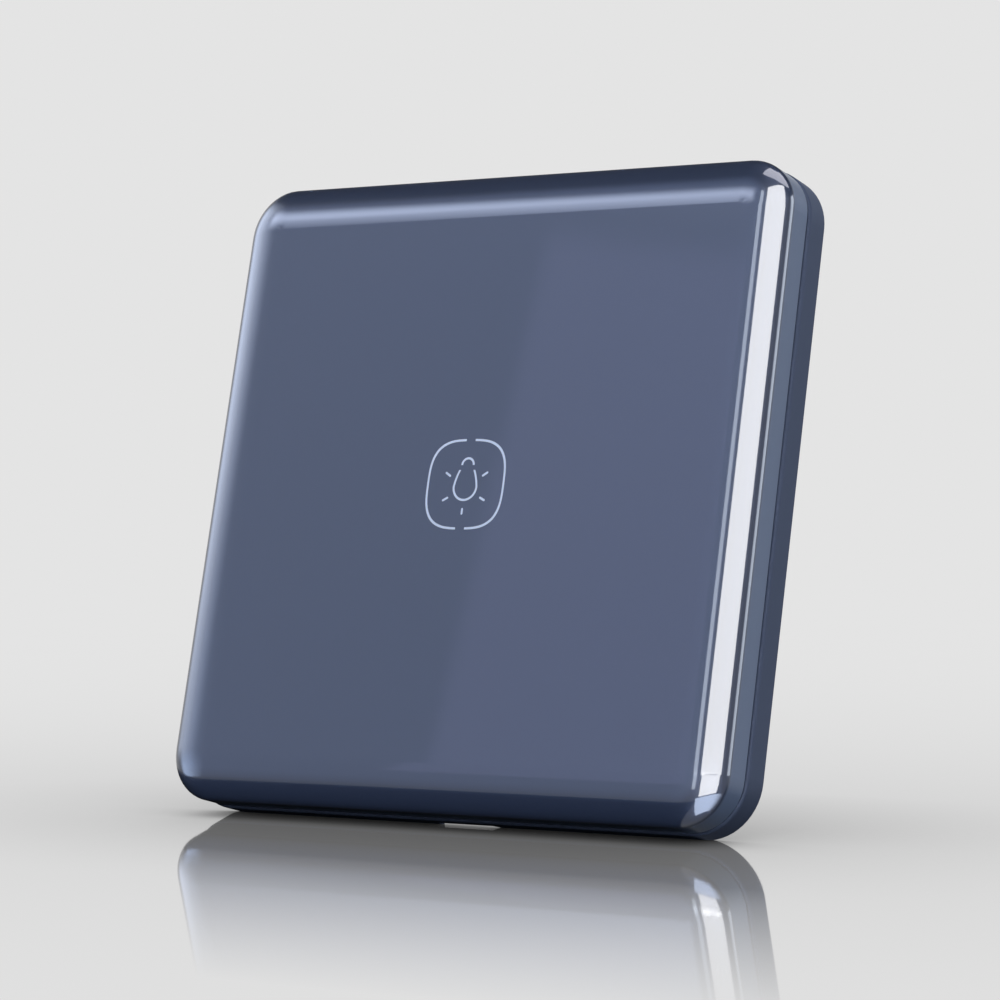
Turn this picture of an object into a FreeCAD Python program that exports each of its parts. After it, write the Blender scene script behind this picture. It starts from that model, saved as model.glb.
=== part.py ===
import FreeCAD, Part
import math
import os

# Wireless remote wall switch, one large glossy key on a square frame.
# X runs to the right, Y runs into the wall, Z runs up, all in millimetres.
# The origin is the middle of the back face, so the wall is the plane y = 0.

# Overall size
plate_size = 86.0
corner_radius = 7.4

# Frame, the part that stays still round the key
frame_depth = 4.1
frame_wall = 1.1
frame_edge_round = 0.45
frame_wall_gap = 0.3
moat_depth = 1.0
moat_floor_thickness = 0.9
inner_wall_inset = 4.6
inner_wall_thickness = 1.2
deck_thickness = 1.0
pry_notch_x = 1.4
pry_notch_width = 9.4
pry_notch_height = 1.5
pry_notch_slope = 0.9

# Key, from the glossy cap down to its carrier
key_inset = 0.3
key_radius = 6.7
key_gap = 0.42
key_space = 1.7
cap_edge_run = 6.2
cap_edge_drop = 2.3
cap_thickness = 1.4
carrier_thickness = 1.2
skirt_reach = 0.5
key_rib_width = 1.0
key_rib_height = 0.9
key_rib_to_pad = 3.0

# Key hinge and the travel at its free edge
hinge_side_inset = 11.4
hinge_top_inset = 3.4
hinge_behind_deck = 0.8
hinge_pin_radius = 0.8
hinge_clearance = 0.05
ear_width = 4.4
ear_ring_wall = 0.85
ear_post_thickness = 1.6
ear_mouth = 1.3
ear_side_gap = 0.4
cheek_thickness = 1.4
key_travel = 0.38

# Catches that keep the free edge of the key from lifting
catch_width = 4.0
catch_leg_thickness = 1.0
catch_leg_inset = 2.2
catch_foot_reach = 2.0
catch_foot_thickness = 0.9
catch_foot_tip = 0.3
catch_gap = 0.1
catch_window_inset = 3.8

# Stop pads under the free edge
stop_pad_to_hinge = 7.0
stop_pad_inset = 7.4
stop_pad_length = 8.0
stop_pad_width = 3.0
stop_pad_corner = 0.6
stop_clearance = 0.07

# Printed icon, a ring with a hanging bulb and its rays, let into the front of the cap
icon_depth = 0.2
icon_size = 12.1
icon_power = 3.1
icon_stroke = 0.3
icon_gap = 1.4
icon_outline_points = 24
bulb_radius = 1.78
bulb_centre_z = -0.34
bulb_neck_half = 0.96
bulb_neck_z = 1.89
bulb_waist_half = 1.5
bulb_waist_z = 0.9
bulb_cap_radius = 0.9
bulb_cap_z = 2.55
ray_inner_x = 2.56
ray_outer_x = 3.2
ray_upper_z = (1.12, 1.52)
ray_lower_z = (-1.82, -2.15)
ray_bottom_z = (-3.33, -3.93)

# Back plate, fixed to the wall
back_thickness = 1.2
back_clearance = 0.2
back_rim_thickness = 1.2
back_rib_thickness = 1.0
back_rib_height = 0.9
back_rib_inset = 8.2
back_rib_z = 24.0
back_pocket_x = 31.0
back_pocket_z = 25.0
back_pocket_floor = 0.6
back_pocket_round = 3.0
screw_inset = 13.0
screw_slot_radius = 2.2
screw_slot_length = 9.0
screw_dish_radius = 4.2
screw_dish_depth = 0.5

# Snap hooks of the back plate
snap_x = 10.0
snap_width = 5.0
snap_thickness = 0.9
snap_wall_gap = 0.2
snap_barb = 0.7
snap_barb_height = 0.6
snap_window_gap = 0.1
snap_window_from_deck = 0.2
snap_window_length = 0.9
snap_core_reach = 1.5

# Pads that hold the back plate where no screws are used
pad_length = 56.0
pad_width = 13.0
pad_corner = 2.5
pad_thickness = 0.6
pad_inset = 15.0
pad_recess_gap = 0.3

# Circuit board
board_side_gap = 6.2
board_end_gap = 14.2
board_thickness = 0.8
board_corner = 1.5
board_screw_inset = 4.0
screw_shank_radius = 0.85
screw_shank_into_deck = 0.9
screw_head_radius = 1.7
screw_head_height = 0.8
screw_cross_width = 0.45
screw_cross_depth = 0.35
screw_cross_reach = 1.0
screw_head_round = 0.4

# Tact switch behind the icon
switch_size = 5.2
switch_height = 1.0
switch_corner_cut = 0.5
switch_cover_thickness = 0.15
switch_window_gap = 0.4
plunger_radius = 1.2
plunger_clearance = 0.1
plunger_proud = 0.4
plunger_flange_radius = 1.7
plunger_flange_thickness = 0.25
plunger_head_gap = 0.05
plunger_well_gap = 0.2
post_radius = 2.0
post_gap = 0.03
leg_width = 0.7
leg_thickness = 0.15
leg_reach = 0.9
leg_offset = 1.7

# Coin cell with its clip and contact
cell_radius = 10.0
cell_height = 3.2
cell_z = -7.0
cell_cap_radius = 8.9
cell_cap_height = 0.5
cell_edge_round = 0.4
contact_thickness = 0.1
contact_length = 12.0
contact_width = 5.0
contact_corner = 1.0
clip_thickness = 0.25
clip_width = 7.0
clip_side_gap = 0.4
clip_back_gap = 0.25
clip_foot = 2.0
clip_slot_length = 8.0
clip_slot_width = 1.6

# Small parts on the board, in one row below the coil, spread by shares of the board
row_below_edge = 11.0
chip_size = (5.0, 4.0, 1.3)
chip_share = -0.38
chip_lead_count = 7
chip_lead_pitch = 0.65
chip_lead_width = 0.3
chip_lead_reach = 0.9
chip_lead_thickness = 0.2
chip_round = 0.25
can_size = (3.2, 2.5, 0.9)
can_share = -0.1
can_round = 0.5
resonator_radius = 1.9
resonator_height = 1.6
resonator_share = 0.16
resonator_flange = 0.35
resonator_flange_height = 0.3
resonator_round = 0.3
coil_radius = 1.1
coil_wire_radius = 0.2
coil_pitch = 1.2
coil_turns = 14
coil_below_edge = 3.0
led_size = (1.6, 0.8, 0.7)
led_z = 4.4
led_hole_radius = 1.1
led_window_gap = 0.4
chip_part_length = 1.6
chip_part_width = 0.8
chip_part_height = 0.5
chip_end_length = 0.3
chip_end_step = 0.06
resistor_share = 0.42
capacitor_share = 0.64
chip_part_rows = 4
chip_part_pitch = 2.4

# Small distance within which two values count as the same
touch = 1e-6

# Values worked out from the sizes above, from the wall outwards
half = plate_size / 2
frame_front_y = -frame_depth
frame_rear_y = -frame_wall_gap
frame_inner_half = half - frame_wall
frame_inner_radius = corner_radius - frame_wall
moat_floor_y = frame_front_y + moat_depth
moat_rear_y = moat_floor_y + moat_floor_thickness
back_half = frame_inner_half - back_clearance
back_radius = frame_inner_radius - back_clearance
cell_rear_y = -back_pocket_floor - clip_back_gap - clip_thickness
cell_front_y = cell_rear_y - cell_height
board_rear_y = cell_front_y - contact_thickness
board_front_y = board_rear_y - board_thickness
deck_rear_y = board_front_y
deck_front_y = deck_rear_y - deck_thickness
carrier_rear_y = deck_front_y - key_space
carrier_front_y = carrier_rear_y - carrier_thickness
front_y = carrier_front_y - cap_thickness

# The inner wall, and what keeps its place from it
inner_wall_half = half - inner_wall_inset
inner_wall_radius = corner_radius - inner_wall_inset
inner_space_half = inner_wall_half - inner_wall_thickness
hinge_x = inner_wall_half - hinge_side_inset
hinge_z = inner_wall_half - hinge_top_inset
hinge_y = deck_rear_y + hinge_behind_deck
ear_bore_radius = hinge_pin_radius + hinge_clearance
ear_ring_radius = ear_bore_radius + ear_ring_wall
catch_leg_z = catch_leg_inset - inner_wall_half
catch_window_inner_z = catch_window_inset - inner_wall_half
stop_pad_x = hinge_x - stop_pad_to_hinge
stop_pad_z = stop_pad_inset - inner_wall_half
key_rib_offset = stop_pad_x - stop_pad_length / 2 - key_rib_to_pad
snap_window_front_y = deck_rear_y + snap_window_from_deck
snap_window_rear_y = snap_window_front_y + snap_window_length
screw_x = half - screw_inset
pad_z = half - pad_inset
board_half_x = inner_space_half - board_side_gap
board_half_z = inner_space_half - board_end_gap
row_z = board_half_z - row_below_edge

# The key's shells and its movement
key_half = half - key_inset
key_edge_y = frame_front_y - key_gap
carrier_half = key_half - cap_thickness
carrier_radius = key_radius - cap_thickness
carrier_skirt_y = frame_front_y + skirt_reach
key_angle = key_travel / (hinge_z + key_half)
switch_front_y = board_front_y - switch_height
cover_front_y = switch_front_y - switch_cover_thickness
plunger_tip_y = cover_front_y - plunger_proud
plunger_travel = key_angle * hinge_z


def save(name, shape):
    shape.exportStep("parts/" + name + ".step")
    print(name, len(shape.Solids), round(shape.Volume, 3), shape.isValid())


def box(x0, x1, y0, y1, z0, z1):
    return Part.makeBox(x1 - x0, y1 - y0, z1 - z0, FreeCAD.Vector(x0, y0, z0))


def rod_y(x, z, radius, y0, y1):
    base = FreeCAD.Vector(x, y0, z)
    return Part.makeCylinder(radius, y1 - y0, base, FreeCAD.Vector(0, 1, 0))


def rod_x(x0, x1, y, z, radius):
    base = FreeCAD.Vector(x0, y, z)
    return Part.makeCylinder(radius, x1 - x0, base, FreeCAD.Vector(1, 0, 0))


def fuse_all(shapes):
    joined = shapes[0].multiFuse(shapes[1:])
    return joined.removeSplitter()


def rounded_plate(half_x, half_z, radius, y0, y1, x=0.0, z=0.0):
    """A plate with four round corners, from y0 to y1."""
    plate = box(x - half_x, x + half_x, y0, y1, z - half_z, z + half_z)
    return plate.makeFillet(radius, upright_edges(plate, y1 - y0))


def upright_edges(shape, length):
    """The edges that run along y for the whole length."""
    return [e for e in shape.Edges if abs(e.Vertexes[0].Y - e.Vertexes[-1].Y) > length - touch]


def edges_at(shape, y):
    """The edges that lie in the plane at this y."""
    return [e for e in shape.Edges if all(abs(v.Y - y) < touch for v in e.Vertexes)]


def slot_plate(length, radius, y0, y1, x=0.0, z=0.0):
    """A plate with two fully round ends, long in x, from y0 to y1."""
    straight = length / 2 - radius
    middle = box(x - straight, x + straight, y0, y1, z - radius, z + radius)
    ends = [rod_y(x - straight, z, radius, y0, y1), rod_y(x + straight, z, radius, y0, y1)]
    return fuse_all([middle] + ends)


def edge_profile(reach, run, drop, y_front, y_back):
    """The section from the centre line out to the side, with an elliptical front edge."""
    centre = FreeCAD.Vector(reach - run, y_front + drop, 0)
    side_point = FreeCAD.Vector(reach, y_front + drop, 0)
    front_point = FreeCAD.Vector(reach - run, y_front, 0)
    ellipse = Part.Ellipse(side_point, front_point, centre)
    curve = Part.ArcOfEllipse(ellipse, 0, math.pi / 2)
    corners = [
        front_point,
        FreeCAD.Vector(0, y_front, 0),
        FreeCAD.Vector(0, y_back, 0),
        FreeCAD.Vector(reach, y_back, 0),
        side_point,
    ]
    lines = [Part.LineSegment(p, q).toShape() for p, q in zip(corners, corners[1:])]
    return Part.Face(Part.Wire([curve.toShape()] + lines))


def pillow(half_size, radius, shrink, y_front, y_back):
    """A square plate whose front edge rolls over, shrink smaller than the cap outside."""
    run = cap_edge_run - shrink
    drop = cap_edge_drop - shrink
    profile = edge_profile(radius, run, drop, y_front, y_back)
    centre = half_size - radius
    side = profile.copy()
    side.translate(FreeCAD.Vector(centre, 0, -centre))
    side = side.extrude(FreeCAD.Vector(0, 0, 2 * centre))
    corner = profile.copy()
    corner.translate(FreeCAD.Vector(centre, 0, centre))
    corner = corner.revolve(FreeCAD.Vector(centre, 0, centre), FreeCAD.Vector(0, -1, 0), 90)
    pieces = [box(-centre, centre, y_front, y_back, -centre, centre)]
    for quarter in range(4):
        for piece in (side, corner):
            turned = piece.copy()
            turned.rotate(FreeCAD.Vector(0, 0, 0), FreeCAD.Vector(0, 1, 0), 90 * quarter)
            pieces.append(turned)
    return fuse_all(pieces)


def mirrored(shape):
    """The shape and its mirror image in x."""
    twin = shape.mirror(FreeCAD.Vector(0, 0, 0), FreeCAD.Vector(1, 0, 0))
    return [shape, twin]


def superellipse_face(half_size, y):
    """A rounded square whose sides bow slightly, from one formula."""
    points = []
    for i in range(icon_outline_points):
        turn = 2 * math.pi * i / icon_outline_points
        across = math.cos(turn)
        up = math.sin(turn)
        reach = (abs(across) ** icon_power + abs(up) ** icon_power) ** (-1 / icon_power)
        points.append(FreeCAD.Vector(half_size * reach * across, y, half_size * reach * up))
    curve = Part.BSplineCurve()
    curve.interpolate(points, PeriodicFlag=True)
    return Part.Face(Part.Wire(curve.toShape()))


def bulb_wire(y, grow):
    """The pear outline of the bulb, grown or shrunk by grow."""
    radius = bulb_radius + grow
    waist = bulb_waist_half + grow
    neck = bulb_neck_half + grow
    top = bulb_neck_z + icon_stroke
    left_end = FreeCAD.Vector(-radius, y, bulb_centre_z)
    right_end = FreeCAD.Vector(radius, y, bulb_centre_z)
    lowest = FreeCAD.Vector(0, y, bulb_centre_z - radius)
    right_neck = FreeCAD.Vector(neck, y, top)
    left_neck = FreeCAD.Vector(-neck, y, top)
    base = Part.Arc(left_end, lowest, right_end)
    right_side = Part.Arc(right_end, FreeCAD.Vector(waist, y, bulb_waist_z), right_neck)
    left_side = Part.Arc(left_neck, FreeCAD.Vector(-waist, y, bulb_waist_z), left_end)
    neck_line = Part.LineSegment(right_neck, left_neck)
    edges = [base.toShape(), right_side.toShape(), neck_line.toShape(), left_side.toShape()]
    return Part.Wire(edges)


def ray(x0, z0, x1, z1, y0, y1):
    """One short stroke with round ends between two points."""
    length = math.hypot(x1 - x0, z1 - z0)
    bar = slot_plate(length + icon_stroke, icon_stroke / 2, y0, y1)
    angle = math.degrees(math.atan2(z1 - z0, x1 - x0))
    bar.rotate(FreeCAD.Vector(0, 0, 0), FreeCAD.Vector(0, -1, 0), angle)
    bar.translate(FreeCAD.Vector((x0 + x1) / 2, 0, (z0 + z1) / 2))
    return bar


def icon_strokes():
    """All strokes of the icon as thin solids, flush with the front of the cap."""
    y0 = front_y
    y1 = front_y + icon_depth
    into = FreeCAD.Vector(0, icon_depth, 0)
    margin = icon_size
    outer = superellipse_face(icon_size / 2, y0).extrude(into)
    inner = superellipse_face(icon_size / 2 - icon_stroke, y0).extrude(into)
    gap = box(-icon_gap / 2, icon_gap / 2, y0, y1, -margin, margin)
    ring = outer.cut(inner).cut(gap)
    bulb_outer = Part.Face(bulb_wire(y0, icon_stroke / 2)).extrude(into)
    bulb_inner = Part.Face(bulb_wire(y0, -icon_stroke / 2)).extrude(into)
    neck_cut = box(-margin, margin, y0, y1, bulb_neck_z, margin)
    bulb = bulb_outer.cut(bulb_inner).cut(neck_cut)
    cap_outer = rod_y(0, bulb_cap_z, bulb_cap_radius + icon_stroke / 2, y0, y1)
    cap_inner = rod_y(0, bulb_cap_z, bulb_cap_radius - icon_stroke / 2, y0, y1)
    cap = cap_outer.cut(cap_inner).cut(box(-margin, margin, y0, y1, -margin, bulb_cap_z))
    strokes = ring.Solids + bulb.Solids + cap.Solids
    for side in (-1, 1):
        for inner_z, outer_z in (ray_upper_z, ray_lower_z):
            strokes.append(ray(side * ray_inner_x, inner_z, side * ray_outer_x, outer_z, y0, y1))
    strokes.append(ray(0, ray_bottom_z[0], 0, ray_bottom_z[1], y0, y1))
    return Part.makeCompound(strokes)


def key_cap(icon):
    """The glossy coloured cap with its rounded front edge, with grooves for the icon."""
    outside = pillow(key_half, key_radius, 0, front_y, key_edge_y)
    inside = pillow(carrier_half, carrier_radius, cap_thickness, carrier_front_y, key_edge_y)
    return outside.cut(inside).cut(icon)


def hinge_ear():
    """A post from the carrier with a snap ring round the hinge pin, at the right side."""
    x0 = hinge_x - ear_width / 2
    x1 = hinge_x + ear_width / 2
    z0 = hinge_z - ear_post_thickness / 2
    z1 = hinge_z + ear_post_thickness / 2
    post = box(x0, x1, carrier_rear_y, hinge_y, z0, z1)
    ring = rod_x(x0, x1, hinge_y, hinge_z, ear_ring_radius)
    bore = rod_x(x0, x1, hinge_y, hinge_z, ear_bore_radius)
    mouth_z0 = hinge_z - ear_mouth / 2
    mouth = box(x0, x1, hinge_y, hinge_y + ear_ring_radius, mouth_z0, mouth_z0 + ear_mouth)
    return post.fuse(ring).cut(bore).cut(mouth)


def catch_leg():
    """A leg from the carrier whose foot hooks behind the deck, at the right side."""
    x0 = hinge_x - catch_width / 2
    leg_z0 = catch_leg_z - catch_leg_thickness / 2
    leg_z1 = catch_leg_z + catch_leg_thickness / 2
    foot_y0 = deck_rear_y + catch_gap
    foot_y1 = foot_y0 + catch_foot_thickness
    corners = [
        FreeCAD.Vector(x0, carrier_rear_y, leg_z0),
        FreeCAD.Vector(x0, foot_y1, leg_z0),
        FreeCAD.Vector(x0, foot_y1, leg_z1),
        FreeCAD.Vector(x0, foot_y0 + catch_foot_tip, leg_z1 + catch_foot_reach),
        FreeCAD.Vector(x0, foot_y0, leg_z1 + catch_foot_reach),
        FreeCAD.Vector(x0, foot_y0, leg_z1),
        FreeCAD.Vector(x0, carrier_rear_y, leg_z1),
    ]
    outline = Part.makePolygon(corners + [corners[0]])
    return Part.Face(outline).extrude(FreeCAD.Vector(catch_width, 0, 0))


def carrier_ribs():
    """Low ribs across the back of the carrier."""
    reach = carrier_half - carrier_thickness
    y1 = carrier_rear_y + key_rib_height
    ribs = []
    for offset in (-key_rib_offset, key_rib_offset):
        near = offset - key_rib_width / 2
        far = offset + key_rib_width / 2
        ribs.append(box(near, far, carrier_rear_y, y1, -reach, reach))
        ribs.append(box(-reach, reach, carrier_rear_y, y1, near, far))
    return ribs


def key_plate():
    """The moulded carrier under the cap: skirt, ribs, post, hinge ears and catches."""
    shell = pillow(
        carrier_half, carrier_radius, cap_thickness, carrier_front_y, carrier_skirt_y)
    hollow_half = carrier_half - carrier_thickness
    hollow_radius = carrier_radius - carrier_thickness
    hollow = rounded_plate(
        hollow_half, hollow_half, hollow_radius, carrier_rear_y, carrier_skirt_y)
    plate = shell.cut(hollow)
    post = rod_y(0, 0, post_radius, carrier_rear_y, plunger_tip_y - post_gap)
    details = carrier_ribs() + [post] + mirrored(hinge_ear()) + mirrored(catch_leg())
    plate = fuse_all([plate] + details)
    light_hole = rod_y(0, led_z, led_hole_radius, carrier_front_y, carrier_rear_y)
    return plate.cut(light_hole)


def outer_frame():
    """The still frame: rim, moat for the key's skirt, raised deck and hinge pins."""
    outside = rounded_plate(half, half, corner_radius, frame_front_y, frame_rear_y)
    outside = outside.makeFillet(frame_edge_round, edges_at(outside, frame_front_y))
    rim_hole = rounded_plate(
        frame_inner_half, frame_inner_half, frame_inner_radius, frame_front_y, frame_rear_y)
    rim = outside.cut(rim_hole)
    step = rounded_plate(
        frame_inner_half, frame_inner_half, frame_inner_radius, moat_floor_y, moat_rear_y)
    raised = rounded_plate(
        inner_wall_half, inner_wall_half, inner_wall_radius, deck_front_y, moat_rear_y)
    inside_radius = inner_wall_radius - inner_wall_thickness
    inside = rounded_plate(
        inner_space_half, inner_space_half, inside_radius, deck_rear_y, moat_rear_y)
    body = fuse_all([rim, step, raised]).cut(inside)
    body = cut_deck_windows(body)
    body = cut_snap_windows(body)
    body = body.cut(pry_notch())
    body = body.multiFuse(hinge_cheeks())
    return body.cut(screw_holes()).removeSplitter()


def cut_deck_windows(body):
    """Openings in the deck for the switch, the ears and the catches."""
    low_z = -switch_size / 2 - switch_window_gap
    side_x = switch_size / 2 + leg_reach + switch_window_gap
    led_top = led_z + led_size[1] / 2 + led_window_gap
    body = body.cut(box(-side_x, side_x, deck_front_y, deck_rear_y, low_z, led_top))
    side_half = ear_width / 2 + ear_side_gap
    ear_z0 = hinge_z - ear_ring_radius - ear_side_gap
    ear_z1 = hinge_z + ear_ring_radius + ear_side_gap
    catch_z0 = catch_leg_z - catch_leg_thickness / 2 - ear_side_gap
    catch_half = catch_width / 2 + ear_side_gap
    for side in (-1, 1):
        x = side * hinge_x
        ear_window = box(x - side_half, x + side_half, deck_front_y, deck_rear_y, ear_z0, ear_z1)
        catch_window = box(
            x - catch_half, x + catch_half, deck_front_y, deck_rear_y,
            catch_z0, catch_window_inner_z)
        body = body.cut(ear_window).cut(catch_window)
    return body


def cut_snap_windows(body):
    """Windows in the inner wall where the back plate's barbs catch."""
    reach = snap_width / 2 + snap_window_gap
    for x in (-snap_x, snap_x):
        for side in (-1, 1):
            near = side * inner_space_half
            far = side * inner_wall_half
            window = box(
                x - reach, x + reach, snap_window_front_y, snap_window_rear_y,
                min(near, far), max(near, far))
            body = body.cut(window)
    return body


def pry_notch():
    """The finger notch in the lower wall, with one sloping end."""
    left = pry_notch_x - pry_notch_width / 2
    right = pry_notch_x + pry_notch_width / 2
    top_y = frame_rear_y - pry_notch_height
    corners = [
        FreeCAD.Vector(left, frame_rear_y, -half),
        FreeCAD.Vector(right, frame_rear_y, -half),
        FreeCAD.Vector(right - pry_notch_slope, top_y, -half),
        FreeCAD.Vector(left, top_y, -half),
    ]
    outline = Part.makePolygon(corners + [corners[0]])
    return Part.Face(outline).extrude(FreeCAD.Vector(0, 0, frame_wall))


def hinge_cheeks():
    """Cheeks behind the deck at both sides of each ear, with the pin between them."""
    pieces = []
    z0 = hinge_z - ear_ring_radius
    z1 = inner_space_half
    y1 = hinge_y + ear_ring_radius
    near = ear_width / 2 + ear_side_gap
    far = near + cheek_thickness
    for side in (-1, 1):
        x = side * hinge_x
        pieces.append(box(x - far, x - near, deck_rear_y, y1, z0, z1))
        pieces.append(box(x + near, x + far, deck_rear_y, y1, z0, z1))
        pieces.append(rod_x(x - near, x + near, hinge_y, hinge_z, hinge_pin_radius))
    return pieces


def screw_places():
    """Where the four board screws are."""
    x = board_half_x - board_screw_inset
    z = board_half_z - board_screw_inset
    return [(-x, -z), (-x, z), (x, -z), (x, z)]


def screw_holes():
    """Blind pilot holes for the board screws in the back of the deck."""
    top_y = deck_rear_y - screw_shank_into_deck
    holes = [rod_y(x, z, screw_shank_radius, top_y, deck_rear_y) for x, z in screw_places()]
    return Part.makeCompound(holes)


def screw_slot(x):
    """A long hole for a wall screw, with a shallow dish for its head."""
    hole = slot_plate(screw_slot_length, screw_slot_radius, -back_thickness, 0, x=x)
    dish_length = screw_slot_length + 2 * (screw_dish_radius - screw_slot_radius)
    dish_y = -back_thickness + screw_dish_depth
    dish = slot_plate(dish_length, screw_dish_radius, -back_thickness, dish_y, x=x)
    return hole.fuse(dish)


def pad_recess(side):
    """The shallow recess for one pad, above (1) or below (-1) the middle."""
    return rounded_plate(
        pad_length / 2 + pad_recess_gap, pad_width / 2 + pad_recess_gap,
        pad_corner + pad_recess_gap, -pad_thickness, 0, z=side * pad_z)


def snap_core_hole(x, side):
    """The hole in the back plate in front of a barb, which its mould needs."""
    near = side * inner_space_half
    far = side * (inner_space_half + snap_core_reach)
    return box(x - snap_width / 2, x + snap_width / 2, -back_thickness, 0,
               min(near, far), max(near, far))


def snap_hook(side):
    """One cantilever hook of the back plate, at the upper (1) or lower (-1) wall."""
    x0 = snap_x - snap_width / 2
    outer_z = inner_space_half - snap_wall_gap
    inner_z = outer_z - snap_thickness
    shoulder_y = snap_window_rear_y - snap_window_gap
    tip_y = shoulder_y - snap_barb_height
    barb_z = outer_z + snap_barb + snap_wall_gap
    corners = [
        FreeCAD.Vector(x0, -back_thickness, side * inner_z),
        FreeCAD.Vector(x0, tip_y, side * inner_z),
        FreeCAD.Vector(x0, tip_y, side * outer_z),
        FreeCAD.Vector(x0, shoulder_y, side * barb_z),
        FreeCAD.Vector(x0, shoulder_y, side * outer_z),
        FreeCAD.Vector(x0, -back_thickness, side * outer_z),
    ]
    outline = Part.makePolygon(corners + [corners[0]])
    return Part.Face(outline).extrude(FreeCAD.Vector(snap_width, 0, 0))


def back_plate():
    """The plate fixed to the wall: rim, ribs, screw slots, cell pocket and snap hooks."""
    base = rounded_plate(back_half, back_half, back_radius, -back_thickness, 0)
    rim_top = moat_rear_y + back_clearance
    rim = rounded_plate(back_half, back_half, back_radius, rim_top, -back_thickness)
    rim_inner = back_half - back_rim_thickness
    rim_inner_radius = back_radius - back_rim_thickness
    rim = rim.cut(rounded_plate(rim_inner, rim_inner, rim_inner_radius, rim_top, -back_thickness))
    rib_top = -back_thickness - back_rib_height
    rib_half = back_half - back_rib_inset
    ribs = []
    for z in (-back_rib_z, back_rib_z):
        z0 = z - back_rib_thickness / 2
        z1 = z + back_rib_thickness / 2
        ribs.append(box(-rib_half, rib_half, rib_top, -back_thickness, z0, z1))
    hooks = mirrored(snap_hook(1)) + mirrored(snap_hook(-1))
    plate = fuse_all([base, rim] + ribs + hooks)
    pocket = rounded_plate(
        back_pocket_x / 2, back_pocket_z / 2, back_pocket_round,
        -back_thickness, -back_pocket_floor, z=cell_z)
    plate = plate.cut(pocket)
    for x in (-screw_x, screw_x):
        plate = plate.cut(screw_slot(x))
    for side in (-1, 1):
        plate = plate.cut(pad_recess(side))
        for x in (-snap_x, snap_x):
            plate = plate.cut(snap_core_hole(x, side))
    return plate


def wall_pads():
    """Two foam pads in the recesses of the back plate, flush with its back."""
    pads = []
    for side in (-1, 1):
        pads.append(rounded_plate(pad_length / 2, pad_width / 2, pad_corner,
                                  -pad_thickness, 0, z=side * pad_z))
    return Part.makeCompound(pads)


def circuit_board():
    """The board, with its screw holes."""
    board = rounded_plate(board_half_x, board_half_z, board_corner, board_front_y, board_rear_y)
    for x, z in screw_places():
        board = board.cut(rod_y(x, z, screw_shank_radius, board_front_y, board_rear_y))
    return board


def board_screw(x, z):
    """A small pan head screw from the back of the board into the deck."""
    head_y = board_rear_y + screw_head_height
    shank = rod_y(x, z, screw_shank_radius, deck_rear_y - screw_shank_into_deck, board_rear_y)
    head = rod_y(x, z, screw_head_radius, board_rear_y, head_y)
    head = head.makeFillet(screw_head_round, edges_at(head, head_y))
    screw = shank.fuse(head)
    arm = screw_cross_reach
    thin = screw_cross_width / 2
    y0 = head_y - screw_cross_depth
    screw = screw.cut(box(x - arm, x + arm, y0, head_y, z - thin, z + thin))
    return screw.cut(box(x - thin, x + thin, y0, head_y, z - arm, z + arm))


def switch_body():
    """The moulded base of the tact switch, with a well for the plunger."""
    reach = switch_size / 2
    body = box(-reach, reach, switch_front_y, board_front_y, -reach, reach)
    body = body.makeChamfer(switch_corner_cut, upright_edges(body, switch_height))
    well_radius = plunger_flange_radius + plunger_clearance
    return body.cut(rod_y(0, 0, well_radius, switch_front_y, switch_front_y + well_depth()))


def well_depth():
    """How deep the plunger's flange may sink, with its travel."""
    return plunger_head_gap + plunger_flange_thickness + plunger_travel + plunger_well_gap


def switch_cover():
    """The steel lid of the tact switch."""
    reach = switch_size / 2
    lid = box(-reach, reach, cover_front_y, switch_front_y, -reach, reach)
    lid = lid.makeChamfer(switch_corner_cut, upright_edges(lid, switch_cover_thickness))
    hole = rod_y(0, 0, plunger_radius + plunger_clearance, cover_front_y, switch_front_y)
    return lid.cut(hole)


def switch_plunger():
    """The plunger of the tact switch with its flange under the lid."""
    flange_y0 = switch_front_y + plunger_head_gap
    flange_y1 = flange_y0 + plunger_flange_thickness
    stem = rod_y(0, 0, plunger_radius, plunger_tip_y, flange_y1)
    flange = rod_y(0, 0, plunger_flange_radius, flange_y0, flange_y1)
    return stem.fuse(flange).removeSplitter()


def switch_legs():
    """Four flat legs that stand on the board beside the switch."""
    legs = []
    reach = switch_size / 2
    for side in (-1, 1):
        for z in (-leg_offset, leg_offset):
            root = side * reach
            foot = side * (reach + leg_reach)
            legs.append(box(min(root, foot), max(root, foot), board_front_y - leg_thickness,
                            board_front_y, z - leg_width / 2, z + leg_width / 2))
    return Part.makeCompound(legs)


def coin_cell():
    """The coin cell: wide can to the back, smaller cap towards the board."""
    can = rod_y(0, cell_z, cell_radius, cell_front_y + cell_cap_height, cell_rear_y)
    can = can.makeFillet(cell_edge_round, edges_at(can, cell_rear_y))
    cap = rod_y(0, cell_z, cell_cap_radius, cell_front_y, cell_front_y + cell_cap_height)
    return can.fuse(cap)


def battery_contact():
    """The flat negative contact under the cell."""
    return rounded_plate(contact_length / 2, contact_width / 2, contact_corner,
                         board_rear_y, cell_front_y, z=cell_z)


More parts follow.
